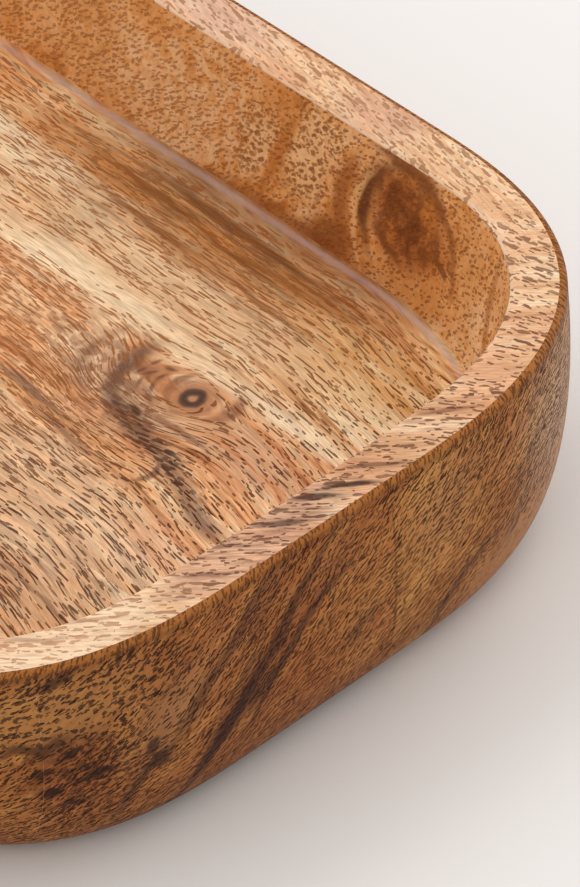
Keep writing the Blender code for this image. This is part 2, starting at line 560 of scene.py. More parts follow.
@dataclass(frozen=True)
class FloorFlow:
    """The run of the grain over the floor, in millimetres: its level lines are the grain's lines."""

    wanders: tuple[tuple[float, float], ...] = ((0.028, 2.0), (0.13, 0.3))
    detail: float = 1.0
    slant: float = 0.16
    slant_reach: Span = (45.0, 100.0)
    slant_pivot: float = 60.0
    knot_reach: tuple[float, float] = (9.0, 7.0)
    knot_steepness: float = 0.33
    knot_push: float = -5.0
    swirl_centre: Triple = (49.0, 27.0, FLOOR_LEVEL)
    swirl_reach: tuple[float, float] = (18.0, 12.0)
    swirl_push: float = 9.0
    curl: tuple[float, float] = (0.085, 1.5)
    curl_centre: Triple = (46.0, 26.0, FLOOR_LEVEL)
    curl_turn: float = math.radians(-18)
    curl_reach: Triple = (40.0, 19.0, 12.0)
    curl_core: float = 0.2

    def sway(self, group: Group, scale: float, reach: float) -> bpy.types.Node:
        """Return a slow noise that goes so far to either side."""
        feeds = {"Vector": group.read["Place"], "Scale": scale, "Detail": self.detail}
        sway = group.add(Kind.NOISE, feeds)
        return group.add(Kind.RANGE, {"Value": sway, "To Min": -reach, "To Max": reach})

    def nearness(self, group: Group, away: bpy.types.Node, reach: tuple[float, float]) -> bpy.types.Node:
        """Return how near a place lies to a middle: 1 on it, falling off like a bell.

        Args:
            group: the group that gets the nodes.
            away: the way from the middle.
            reach: how far the bell goes along the boards and across them.

        Returns:
            The node that gives it.
        """
        near = group.add(Kind.VECTOR, {0: away, 1: (1 / reach[0], 1 / reach[1], 0.0)}, operation="MULTIPLY")
        near = group.add(Kind.VECTOR, {0: near, 1: near}, operation="DOT_PRODUCT").outputs["Value"]
        near = group.add(Kind.MATH, {0: near, 1: -1.0}, operation="MULTIPLY")
        return group.add(Kind.MATH, {0: near}, operation="EXPONENT")

    def build(self, figure: bpy.types.NodeTree) -> bpy.types.NodeTree:
        """Build the flow.

        Args:
            figure: the group that draws a soft figure.

        Returns:
            The group, which gives a place across the grain.
        """
        group = Group("floor_flow", ("Place",))
        add, place = group.add, group.read["Place"]
        parts = add(Kind.SPLIT, {0: place}).outputs
        run = parts[Axis.ACROSS]
        for scale, reach in self.wanders:
            run = add(Kind.MATH, {0: run, 1: self.sway(group, scale, reach)}, operation="ADD")
        # Towards the near side and the far end it slants across the boards
        start, end = self.slant_reach
        feeds = {"Value": parts[Axis.ALONG], "From Min": start, "From Max": end, "To Max": self.slant}
        slant = add(Kind.RANGE, feeds, interpolation_type="SMOOTHSTEP")
        forward = add(Kind.MATH, {0: parts[Axis.ALONG], 1: self.slant_pivot}, operation="SUBTRACT")
        run = add(Kind.MATH, {0: forward, 1: slant, 2: run}, operation="MULTIPLY_ADD")
        # It parts round the knot
        knot = add(Kind.VECTOR, {0: place, 1: KNOT_PLACE}, operation="SUBTRACT")
        side = add(Kind.SPLIT, {0: knot}).outputs[Axis.ACROSS]
        lift = add(Kind.MATH, {0: side, 1: self.knot_steepness}, operation="MULTIPLY")
        lift = add(Kind.MATH, {0: lift}, operation="TANH")
        near = self.nearness(group, knot, self.knot_reach)
        lift = add(Kind.MATH, {0: lift, 1: near}, operation="MULTIPLY")
        run = add(Kind.MATH, {0: lift, 1: self.knot_push, 2: run}, operation="MULTIPLY_ADD")
        # It swings round the swirl beside the knot
        swirl = add(Kind.VECTOR, {0: place, 1: self.swirl_centre}, operation="SUBTRACT")
        swirl = self.nearness(group, swirl, self.swirl_reach)
        run = add(Kind.MATH, {0: swirl, 1: self.swirl_push, 2: run}, operation="MULTIPLY_ADD")
        # Beside the knot the grain is curly
        feeds = {"Place": place, "Centre": self.curl_centre, "Turn": (0.0, 0.0, self.curl_turn)}
        feeds |= {"Reach": self.curl_reach, "Core": self.curl_core}
        curly = add(Kind.GROUP, feeds, node_tree=figure)
        feeds = {0: self.sway(group, *self.curl), 1: curly, 2: run}
        return group.close(add(Kind.MATH, feeds, operation="MULTIPLY_ADD"))


@dataclass(frozen=True)
class Pores:
    """Open pores where the surface cuts the wood's vessels, in millimetres."""

    spacing: float
    length: float
    width: float
    layers: int = 1
    share: float = 1.0
    soft: float = 0.0
    stretch: float = 1.0


class Plane(Enum):
    """The surface that a figure is placed on."""

    FLOOR = "floor"
    RIM = "rim"
    END_WALL = "end wall"
    LONG_WALL = "long wall"

    def place(self, first: float, second: float) -> Triple:
        """Return the place in the tray of two sizes along this surface, in millimetres."""
        return {
            Plane.FLOOR: (first, second, FLOOR_LEVEL),
            Plane.RIM: (first, second, RIM_LEVEL),
            Plane.END_WALL: (END_FACE, first, second),
            Plane.LONG_WALL: (first, FAR_FACE, second),
        }[self]

    def turn(self, angle: float) -> Triple:
        """Return the turn that lays a figure in this surface, its length so far from level."""
        if self is Plane.END_WALL:
            return (QUARTER_TURN, -angle, QUARTER_TURN)
        if self is Plane.LONG_WALL:
            return (QUARTER_TURN, -angle, 0.0)
        return (0.0, 0.0, angle)


class Edge(Enum):
    """How cleanly a figure's edge is drawn."""

    STRAIGHT = "straight"
    SMOOTH = "smooth"
    RAGGED = "ragged"


class Break(Enum):
    """How a figure is broken up by the wood it lies in."""

    WHOLE = "whole"
    STREAKY = "streaky"
    SPECKLED = "speckled"
    SPOTTED = "spotted"


@dataclass(frozen=True)
class Figure:
    """A streak, spot or band at one place in the wood, in millimetres and degrees, or a bare place."""

    name: str
    centre: tuple[float, float]
    angle: float
    reach: tuple[float, float]
    colour: str | None
    strength: float
    bend: float = 0.0
    core: float = 0.3
    edge: Edge = Edge.SMOOTH
    broken: Break = Break.WHOLE


@dataclass(frozen=True)
class WoodTools:
    """The shared groups that the patterns are drawn with."""

    pores: bpy.types.NodeTree
    figure: bpy.types.NodeTree
    wall_grain: bpy.types.NodeTree
    floor_flow: bpy.types.NodeTree


@dataclass(frozen=True)
class Tones:
    """The colours of one surface: its deep, plain, pale and warm wood, and its dark and faint pores."""

    deep: str
    plain: str
    pale: str
    warm: str
    pore: str
    faint: str


@dataclass
class OiledAcacia:
    """Oiled acacia, carved and sanded: satin, streaky, with dark open pores that the light catches.

    Scales are per millimetre, and each wander has its scale, finer steps and reach in millimetres.
    """

    name: str
    tools: WoodTools
    tones: Tones
    pores: tuple[Pores, ...]
    stretch: Triple
    turn: Triple = (0.0, 0.0, 0.0)
    plane: Plane = Plane.FLOOR
    figures: tuple[Figure, ...] = ()
    bare: tuple[Figure, ...] = ()
    spots: Pores = Pores(spacing=2.5, length=2.3, width=1.5, layers=2, share=0.8, soft=0.5)
    board_tones: tuple[str, ...] = ()
    band_scale: float = 0.16
    streak_scale: float = 0.85
    fibre_scale: float = 2.2
    speckle_scale: float = 0.42
    cloud_scale: float = 0.055
    crowd_scale: float = 0.09
    pattern_roughness: float = 0.62
    streak_fold: float = 0.5
    detail: float = 3.0
    coarse_detail: float = 2.0
    fine_detail: float = 4.0
    smooth_wander: Triple = (0.07, 2.0, 3.5)
    ragged_wander: Triple = (0.2, 4.0, 6.0)
    spot_wander: Triple = (0.6, 2.0, 2.0)
    pore_wander: Triple = (0.5, 1.0, 0.9)
    streaky_range: Span = (0.44, 0.56)
    speckle_range: Span = (0.46, 0.54)
    warm_range: Span = (0.44, 0.62)
    line_range: Span = (0.54, 0.64)
    crowd_range: Span = (0.35, 0.55)
    thread_range: Span = (0.32, 0.68)
    fibre_range: Span = (0.84, 1.12)
    ramp_reach: float = 0.11
    ramp_middle: float = 0.49
    line_share: float = 0.0
    warm_share: float = 0.5
    least_open: float = 0.65
    roughness: float = 0.42
    pore_roughness: float = 0.3
    gloss: float = 0.18
    pore_depth: float = 0.2
    fibre_height: float = 0.15
    relief: float = 0.6
    pore_share: float = 0.9
    figure_depth: float = 40.0
    layer_shift: Triple = (17.3, 41.9, 29.1)
    layer_growth: float = 0.07

    def start(self) -> None:
        """Start the material with its coordinates in millimetres."""
        self.material = bpy.data.materials.new(self.name)
        self.material.use_nodes = True
        self.material.node_tree.nodes.clear()
        self.add = partial(add_node, self.material.node_tree)
        coordinates = self.add(Kind.COORDINATES)
        self.normal = coordinates.outputs["Normal"]
        feeds = {0: coordinates.outputs["Object"], "Scale": 1 / MM}
        self.place = self.add(Kind.VECTOR, feeds, operation="SCALE")
        self.parts = self.add(Kind.SPLIT, {0: self.place}).outputs
        # A slow wander keeps a figure's edge from being a clean ellipse
        self.places = {
            Edge.STRAIGHT: self.place,
            Edge.SMOOTH: self.wander(*self.smooth_wander),
            Edge.RAGGED: self.wander(*self.ragged_wander),
        }

    def wander(self, scale: float, detail: float, reach: float) -> bpy.types.Node:
        """Return the place, pushed about by a noise.

        Args:
            scale: how fine the wander is, per millimetre.
            detail: how many finer steps it has.
            reach: how far it goes in all, in millimetres.

        Returns:
            The node that gives the place.
        """
        push = self.add(Kind.NOISE, {"Vector": self.place, "Scale": scale, "Detail": detail})
        feeds = {0: push.outputs["Color"], 1: NOISE_MEAN}
        push = self.add(Kind.VECTOR, feeds, operation="SUBTRACT")
        push = self.add(Kind.VECTOR, {0: push, "Scale": reach}, operation="SCALE")
        return self.add(Kind.VECTOR, {0: self.place, 1: push}, operation="ADD")

    def change(
        self, axis: Axis, low: float, high: float, first: float = 0.0, last: float = 1.0
    ) -> bpy.types.Node:
        """Return a value that eases from one to another between two places along an axis.

        Args:
            axis: the axis of the tray.
            low: the place where the change starts, in millimetres.
            high: the place where it ends.
            first: the value up to its start.
            last: the value from its end on.

        Returns:
            The node that gives the value.
        """
        feeds = {"Value": self.parts[axis], "From Min": low, "From Max": high}
        feeds |= {"To Min": first, "To Max": last}
        return self.add(Kind.RANGE, feeds, interpolation_type="SMOOTHSTEP")

    def board_number(self) -> bpy.types.Node:
        """Return which board a place lies in, counted from the left."""
        feeds = {0: self.parts[Axis.ACROSS], 1: MM / FORM.pitch, 2: FORM.board_count / 2}
        count = self.add(Kind.MATH, feeds, operation="MULTIPLY_ADD")
        return self.add(Kind.MATH, {0: count}, operation="FLOOR")

    def grain(self) -> object:
        """Return the direction of the grain in the surface."""
        return ALONG_THE_BOARDS

    def figure_place(self) -> bpy.types.Node:
        """Return where the streaks of the wood are read, drawn out along the grain."""
        feeds = {"Vector": self.place, "Rotation": self.turn, "Scale": self.stretch}
        return self.add(Kind.MAPPING, feeds, vector_type="TEXTURE")

    def pattern(self, scale: float, detail: float, distortion: float = 0.0) -> bpy.types.Node:
        """Return a streaky pattern along the grain.

        Args:
            scale: how fine it is across the grain, per millimetre.
            detail: how many finer steps it has.
            distortion: how far it folds on itself.

        Returns:
            The node that gives the pattern, from 0 to 1.
        """
        feeds = {"Vector": self.lines, "Scale": scale, "Detail": detail, "Roughness": self.pattern_roughness}
        return self.add(Kind.NOISE, feeds | {"Distortion": distortion})

    def streaks(self) -> bpy.types.Node:
        """Mix the deep, plain, pale and warm wood in broad bands and narrow streaks along the grain."""
        bands = self.pattern(self.band_scale, self.detail)
        streaks = self.pattern(self.streak_scale, self.detail, self.streak_fold)
        feeds = {"Vector": self.place, "Scale": self.speckle_scale, "Detail": self.detail}
        speckle = self.add(Kind.NOISE, feeds)
        cloud = {"Vector": self.places[Edge.SMOOTH], "Scale": self.cloud_scale, "Detail": self.detail}
        shares = {}
        for name, source, (low, high), most in (
            ("streaky", streaks, self.streaky_range, 1.0),
            ("speckled", speckle, self.speckle_range, 1.0),
            ("warm", self.add(Kind.NOISE, cloud), self.warm_range, self.warm_share),
            # Narrow dark lines, where the pores of a year's growth lie close together
            ("lines", streaks, self.line_range, self.line_share),
        ):
            feeds = {"Value": source, "From Min": low, "From Max": high, "To Max": most}
            shares[name] = self.add(Kind.RANGE, feeds)
        self.breaks = {
            Break.STREAKY: shares["streaky"],
            Break.SPECKLED: shares["speckled"],
            Break.SPOTTED: self.draw_pores((self.spots,), 1.0, self.wander(*self.spot_wander)),
        }
        tone = self.add(Kind.MIX, {"Factor": 0.5, "A": bands, "B": streaks}, data_type="FLOAT")
        ramp = self.add(Kind.RAMP, {0: tone})
        low, middle, high = (self.ramp_middle + self.ramp_reach * side for side in (-1, 0, 1))
        self.fill_ramp(ramp, ((low, self.tones.deep), (middle, self.tones.plain), (high, self.tones.pale)))
        colour = self.lay(ramp, linear(self.tones.warm), shares["warm"])
        return self.lay(colour, linear(self.tones.deep), shares["lines"])

    def fill_ramp(self, ramp: bpy.types.Node, stops: tuple[tuple, ...]) -> None:
        """Set a colour ramp's stops.

        Args:
            ramp: the colour ramp.
            stops: each stop's place, colour and, where it isn't 1, opacity, in order.
        """
        entries = ramp.color_ramp.elements
        entries.remove(entries[1])
        for number, (position, code, *opacity) in enumerate(stops):
            entry = entries[0] if number == 0 else entries.new(position)
            entry.position = position
            entry.color = (*linear(code)[:3], *(opacity or (1.0,)))

    def lay(self, colour: object, over: object, share: object, blend: str = "MIX") -> bpy.types.Node:
        """Lay one colour over another.

        Args:
            colour: the colour so far.
            over: the colour to lay over it, or what gives it.
            share: how much of it shows, from 0 to 1.
            blend: how the two are mixed.

        Returns:
            The new colour.
        """
        feeds = {"Factor": share, "A": colour, "B": over}
        return self.add(Kind.MIX, feeds, data_type="RGBA", blend_type=blend)

    def mask(self, figure: Figure) -> bpy.types.Node:
        """Return where one figure lies, from 0 outside it to its strength inside."""
        feeds = {
            "Place": self.places[figure.edge],
            "Centre": self.plane.place(*figure.centre),
            "Turn": self.plane.turn(math.radians(figure.angle)),
            "Reach": (*figure.reach, self.figure_depth),
            "Bend": figure.bend,
            "Core": figure.core,
        }
        mask = self.add(Kind.GROUP, feeds, label=figure.name, node_tree=self.tools.figure)
        return self.add(Kind.MATH, {0: mask, 1: figure.strength}, operation="MULTIPLY")

    def draw_figure(self, colour: bpy.types.Node, figure: Figure) -> bpy.types.Node:
        """Lay one figure over a colour."""
        share = self.mask(figure)
        if figure.broken is not Break.WHOLE:
            share = self.add(Kind.MATH, {0: share, 1: self.breaks[figure.broken]}, operation="MULTIPLY")
        return self.lay(colour, linear(figure.colour), share)

    def open_share(self) -> bpy.types.Node:
        """Return how many of the pores are open: uneven everywhere, and few in the bare places."""
        feeds = {"Vector": self.place, "Scale": self.crowd_scale, "Detail": self.coarse_detail}
        crowd = self.add(Kind.NOISE, feeds)
        low, high = self.crowd_range
        feeds = {"Value": crowd, "From Min": low, "From Max": high, "To Min": self.least_open}
        share = self.add(Kind.RANGE, feeds)
        for figure in self.bare:
            left = self.add(Kind.MATH, {0: 1.0, 1: self.mask(figure)}, operation="SUBTRACT")
            share = self.add(Kind.MATH, {0: share, 1: left}, operation="MULTIPLY")
        return share

    def pore_size(self) -> object:
        """Return how long the pores are, as a share of their named length."""
        return 1.0

    def pore_frame(self, place: bpy.types.Node, stretch: float) -> tuple[object, object, object]:
        """Return the place, the way the surface faces and the grain, as a layer of pores reads them."""
        return place, self.normal, self.run

    def draw_pores(self, kinds: tuple[Pores, ...], share: object, place: bpy.types.Node) -> bpy.types.Node:
        """Lay the layers of pores over each other.

        Args:
            kinds: the pores' sizes, one entry for each kind.
            share: how many of them are open, from 0 to 1.
            place: the place on the tray, in millimetres.

        Returns:
            The node that is 1 in a dark pore and 0 between pores.
        """
        size = self.pore_size()
        result = None
        layers = [(kind, layer) for kind in kinds for layer in range(kind.layers)]
        for number, (kind, layer) in enumerate(layers, start=1):
            spot, facing, grain = self.pore_frame(place, kind.stretch)
            feeds = {
                "Place": spot,
                "Normal": facing,
                "Grain": grain,
                "Shift": tuple(Vector(self.layer_shift) * number),
                "Spacing": kind.spacing * (1 + self.layer_growth * layer),
                "Length": self.add(Kind.MATH, {0: size, 1: kind.length}, operation="MULTIPLY"),
                "Width": kind.width,
                "Share": self.add(Kind.MATH, {0: share, 1: kind.share}, operation="MULTIPLY"),
                "Soft": kind.soft,
            }
            mask = self.add(Kind.GROUP, feeds, node_tree=self.tools.pores)
            if result is None:
                result = mask
            else:
                result = self.add(Kind.MATH, {0: result, 1: mask}, operation="MAXIMUM")
        return result

    def fibres(self, colour: bpy.types.Node) -> bpy.types.Node:
        """Lay fine light and dark fibres over a colour."""
        low, high = self.thread_range
        threads = self.pattern(self.fibre_scale, self.fine_detail)
        self.fibre = self.add(Kind.RANGE, {"Value": threads, "From Min": low, "From Max": high})
        low, high = self.fibre_range
        shade = self.add(Kind.RANGE, {"Value": self.fibre, "To Min": low, "To Max": high})
        return self.lay(colour, shade, 1.0, "MULTIPLY")

    def tint(self, colour: bpy.types.Node) -> bpy.types.Node:
        """Give each board its own tone, where the surface has them."""
        count = len(self.board_tones)
        if not count:
            return colour
        number = self.add(Kind.MATH, {0: self.board_number(), 1: 0.5}, operation="ADD")
        number = self.add(Kind.MATH, {0: number, 1: 1 / count}, operation="MULTIPLY")
        ramp = self.add(Kind.RAMP, {0: number})
        ramp.color_ramp.interpolation = "CONSTANT"
        self.fill_ramp(ramp, tuple((place / count, code) for place, code in enumerate(self.board_tones)))
        return self.lay(colour, ramp, 1.0, "MULTIPLY")

    def edging(self, colour: bpy.types.Node) -> bpy.types.Node:
        """Change the colour along this surface's edges; the plain finish has none."""
        return colour

    def pore_tone(self) -> object:
        """Return how dark the pores are, from faint at 0 to dark at 1."""
        return 1.0

    def finish(self) -> bpy.types.Material:
        """Build the whole material.

        Returns:
            The material.
        """
        self.start()
        self.lines = self.figure_place()
        self.run = self.grain()
        colour = self.tint(self.streaks())
        for figure in self.figures:
            colour = self.draw_figure(colour, figure)
        colour = self.edging(self.fibres(colour))
        pores = self.draw_pores(self.pores, self.open_share(), self.wander(*self.pore_wander))
        dark = self.lay(linear(self.tones.faint), linear(self.tones.pore), self.pore_tone())
        cover = self.add(Kind.MATH, {0: pores, 1: self.pore_share}, operation="MULTIPLY")
        colour = self.lay(colour, dark, cover)
        height = self.add(Kind.MATH, {0: self.fibre, 1: self.fibre_height}, operation="MULTIPLY")
        height = self.add(Kind.MATH, {0: height, 1: pores}, operation="SUBTRACT")
        feeds = {"Height": height, "Strength": self.relief, "Distance": self.pore_depth * MM}
        bump = self.add(Kind.BUMP, feeds)
        # The satin oil is duller in the pores
        feeds = {"Value": pores, "To Min": self.roughness, "To Max": self.roughness + self.pore_roughness}
        feeds = {"Base Color": colour, "Roughness": self.add(Kind.RANGE, feeds), "Normal": bump}
        shader = self.add(Kind.SHADER, feeds | {"Specular IOR Level": self.gloss})
        self.add(Kind.OUTPUT, {"Surface": shader})
        return self.material


class RimWood(OiledAcacia):
    """The flat rim: pale pinkish tan, with dark dashes that turn round the far corner."""

    lit_edge: str = "#F8DDBC"
    far_turn: float = math.radians(-10)
    near_rise: float = math.radians(46)
    corner_rise: float = math.radians(18)
    # Where each change on the rim starts and ends, in millimetres
    far_side: Span = (138.0, 84.0)
    corner: Span = (15.0, 75.0)
    near_end: Span = (-52.0, -22.0)
    sanded_edge: Span = (58.95, 58.5)
    near_tone: float = 0.1
    far_tone: float = 0.35
    lit_share: float = 0.6

    def far_share(self) -> bpy.types.Node:
        """Return how far a place lies round the corner to the far side."""
        return self.change(Axis.ALONG, *self.far_side)

    def pattern(self, scale: float, detail: float, distortion: float = 0.0) -> bpy.types.Node:
        """Return the streaks, slanting across the end and turned along the far side."""
        near = super().pattern(scale, detail, distortion)
        lines = self.lines
        feeds = {"Vector": self.place, "Rotation": (0.0, 0.0, self.far_turn), "Scale": self.stretch}
        self.lines = self.add(Kind.MAPPING, feeds, vector_type="TEXTURE")
        far = super().pattern(scale, detail, distortion)
        self.lines = lines
        return self.add(Kind.MIX, {"Factor": self.far_share(), "A": near, "B": far}, data_type="FLOAT")

    def grain(self) -> bpy.types.Node:
        """Return the grain: slanting across the end, swinging round to run back along the far side."""
        corner = self.change(Axis.ACROSS, *self.corner, self.near_rise, self.corner_rise)
        feeds = {"Factor": self.far_share(), "A": corner, "B": self.far_turn}
        feeds = {"Vector": ALONG_THE_BOARDS, "Angle": self.add(Kind.MIX, feeds, data_type="FLOAT")}
        return self.add(Kind.TURN, feeds, rotation_type="Z_AXIS")

    def pore_tone(self) -> bpy.types.Node:
        """Return how dark the pores are: faint at the near end, and dark from the middle on."""
        far = self.far_share()
        near = self.change(Axis.ACROSS, *self.near_end, self.near_tone)
        return self.add(Kind.MIX, {"Factor": far, "A": near, "B": self.far_tone}, data_type="FLOAT")

    def edging(self, colour: bpy.types.Node) -> bpy.types.Node:
        """Lay a painted highlight, a pale line, along the rounded inner edge."""
        # Painted highlight along the rim's rounded inner edge
        share = self.change(Axis.UPWARD, *self.sanded_edge, last=self.lit_share)
        return self.lay(colour, linear(self.lit_edge), share)


class WallWood(OiledAcacia):
    """The outside: short dense pores that climb the end wall and lie level along the sides."""

    edge_colour: str = "#A8672E"
    under_colour: str = "#5A3216"
    edge_rise: float = math.radians(62)
    sway_scale: float = 0.06
    sway: float = 0.7
    # The heights between which each change up the wall goes, in millimetres
    upright: Span = (56.8, 57.8)
    faint: Span = (57.0, 58.2)
    shade: Span = (55.5, 57.8)
    amber: Span = (57.9, 58.5)
    faint_share: float = 0.6
    shade_share: float = 0.4
    amber_share: float = 0.7
    # How the rise of the grain changes between two ways that the wall faces, in degrees
    rises = ((0.1, 0.7, 36, 10), (-0.1, -0.6, 0, -8), (-0.75, -0.97, 0, -22))

    def grain(self) -> bpy.types.Node:
        """Return the grain: climbing on the ends, level along the sides, upright over the rim's edge."""
        facing = self.add(Kind.SPLIT, {0: self.normal}).outputs[Axis.ACROSS]
        rise = 0.0
        for first, last, start, end in self.rises:
            feeds = {"Value": facing, "From Min": first, "From Max": last}
            feeds |= {"To Min": math.radians(start), "To Max": math.radians(end)}
            turn = self.add(Kind.RANGE, feeds, interpolation_type="SMOOTHSTEP")
            rise = self.add(Kind.MATH, {0: rise, 1: turn}, operation="ADD")
        feeds = {"Vector": self.place, "Scale": self.sway_scale, "Detail": self.coarse_detail}
        sway = self.add(Kind.NOISE, feeds)
        sway = self.add(Kind.RANGE, {"Value": sway, "To Min": -self.sway, "To Max": self.sway})
        rise = self.add(Kind.MATH, {0: rise, 1: sway}, operation="ADD")
        feeds = {"Factor": self.change(Axis.UPWARD, *self.upright), "A": rise, "B": self.edge_rise}
        feeds = {"Normal": self.normal, "Rise": self.add(Kind.MIX, feeds, data_type="FLOAT")}
        return self.add(Kind.GROUP, feeds, node_tree=self.tools.wall_grain)

    def pore_tone(self) -> bpy.types.Node:
        """Return how dark the pores are: dark on the wall, and faint on the rim's rounded edge."""
        level = self.change(Axis.UPWARD, *self.faint, last=self.faint_share)
        return self.add(Kind.MATH, {0: 1.0, 1: level}, operation="SUBTRACT")

    def edging(self, colour: bpy.types.Node) -> bpy.types.Node:
        """Lay painted shade just below the rim's rounded edge, and an amber line on the edge itself, a
        painted highlight.
        """
        # Painted shade below the rounded edge, then a painted highlight in amber on it
        shade = self.change(Axis.UPWARD, *self.shade, last=self.shade_share)
        colour = self.lay(colour, linear(self.under_colour), shade)
        amber = self.change(Axis.UPWARD, *self.amber, last=self.amber_share)
        return self.lay(colour, linear(self.edge_colour), amber)


class WellWallWood(OiledAcacia):
    """The wall of the well: warm orange brown, with steep short pores round a dark swirl."""

    rise: float = math.radians(36)
    # From where to where along the wall the pores change, in millimetres
    shorter: Span = (0.0, 45.0)
    darker: Span = (0.0, 60.0)
    left_length: float = 1.7
    left_tone: float = 0.35
    right_tone: float = 0.75

    def grain(self) -> bpy.types.Node:
        """Return the grain, steep on every wall of the well."""
        feeds = {"Normal": self.normal, "Rise": self.rise}
        return self.add(Kind.GROUP, feeds, node_tree=self.tools.wall_grain)

    def pore_size(self) -> bpy.types.Node:
        """Return the pores' length: long soft dashes at the left, and short dots from the middle on."""
        return self.change(Axis.ALONG, *self.shorter, self.left_length)

    def pore_tone(self) -> bpy.types.Node:
        """Return how dark the pores are: faint at the left, and darker from the middle on."""
        return self.change(Axis.ALONG, *self.darker, self.left_tone, self.right_tone)


class FloorWood(OiledAcacia):
    """The floor of the well, where each board has its own tone and the grain parts round a knot."""

    line_colour: str = "#C9B6B8"
    board_shift: float = 37.0
    knot_wander: Triple = (0.3, 1.0, 1.2)
    near_way: Triple = (0.8, -0.6, 0.0)
    near_reach: Span = (-5.0, 60.0)
    # Where the pores grow short along the boards and across them, and by how much
    short_along: Span = (56.0, 88.0)
    short_across: Span = (-14.0, 4.0)
    shortening: float = 0.5
    # The heights between which the cove turns bare of pores, and the painted highlight along the cove comes
    # and goes
    sanded: Span = (15.4, 14.4)
    line_foot: Span = (15.5, 16.5)
    line_top: Span = (17.9, 17.0)
    line_cover: float = 0.45

    def drawn_out(self, stretch: float) -> bpy.types.Node:
        """Return the place along the boards, drawn out so far, and across the flow, apart in each board."""
        along = self.add(Kind.MATH, {0: self.parts[Axis.ALONG], 1: 1 / stretch}, operation="MULTIPLY")
        return self.add(Kind.JOIN, {0: along, 1: self.here, 2: self.apart})

    def figure_place(self) -> bpy.types.Node:
        """Return where the streaks are read."""
        self.here = self.add(Kind.GROUP, {"Place": self.place}, node_tree=self.tools.floor_flow)
        self.apart = self.add(Kind.MATH, {0: self.board_number(), 1: self.board_shift}, operation="MULTIPLY")
        return self.drawn_out(self.stretch[0])

    def pore_frame(self, place: bpy.types.Node, stretch: float) -> tuple[object, object, object]:
        """Return the place along the boards and across the flow, so that long pores bend with the grain."""
        return self.drawn_out(stretch), (0.0, 0.0, 1 / stretch), (stretch, 0.0, 0.0)

    def pore_size(self) -> bpy.types.Node:
        """Return the pores' length: short dots near the tray's end, but long everywhere else."""
        along = self.change(Axis.ALONG, *self.short_along, last=self.shortening)
        across = self.change(Axis.ACROSS, *self.short_across)
        short = self.add(Kind.MATH, {0: along, 1: across}, operation="MULTIPLY")
        return self.add(Kind.MATH, {0: 1.0, 1: short}, operation="SUBTRACT")

    def open_share(self) -> bpy.types.Node:
        """Return how many of the pores are open: none up the cove, where the painted highlight lies."""
        feeds = {0: super().open_share(), 1: self.change(Axis.UPWARD, *self.sanded)}
        return self.add(Kind.MATH, feeds, operation="MULTIPLY")

    def pore_tone(self) -> bpy.types.Node:
        """Return how dark the pores are: soft brown towards the far wall, and dark at the near end."""
        near = self.add(Kind.VECTOR, {0: self.place, 1: self.near_way}, operation="DOT_PRODUCT")
        far, close = self.near_reach
        feeds = {"Value": near.outputs["Value"], "From Min": far, "From Max": close}
        return self.add(Kind.RANGE, feeds, interpolation_type="SMOOTHSTEP")

    def edging(self, colour: bpy.types.Node) -> bpy.types.Node:
        """Draw the ringed knot in the floor, and a painted highlight, a pale violet line, along the cove."""
        away = self.add(Kind.VECTOR, {0: self.wander(*self.knot_wander), 1: KNOT_PLACE}, operation="SUBTRACT")
        away = self.add(Kind.VECTOR, {0: away}, operation="LENGTH").outputs["Value"]
        ring = self.add(Kind.RAMP, {0: self.add(Kind.MATH, {0: away, 1: CM_PER_MM}, operation="MULTIPLY")})
        self.fill_ramp(ring, KNOT_RINGS)
        colour = self.lay(colour, ring.outputs[0], ring.outputs[1])
        # Painted highlight: a pale violet line along the cove, where the cove catches the light
        foot = self.change(Axis.UPWARD, *self.line_foot, last=self.line_cover)
        top = self.change(Axis.UPWARD, *self.line_top)
        line = self.add(Kind.MATH, {0: foot, 1: top}, operation="MULTIPLY")
        return self.lay(colour, linear(self.line_colour), line)


# Small flecks between the knot and the swirl: place, angle and reach
FLECKS = (
    ((44.6, 37.6), 75, (2.6, 0.9)),
    ((46.6, 34.4), 62, (3.0, 0.9)),
    ((48.9, 38.4), 15, (2.4, 0.8)),
    ((49.4, 35.2), 80, (2.2, 0.8)),
    ((47.2, 30.6), -68, (2.8, 0.9)),
    ((50.6, 31.4), -52, (2.4, 0.8)),
    ((52.4, 28.6), -28, (3.0, 0.9)),
    ((44.2, 33.4), 84, (2.4, 0.8)),
)

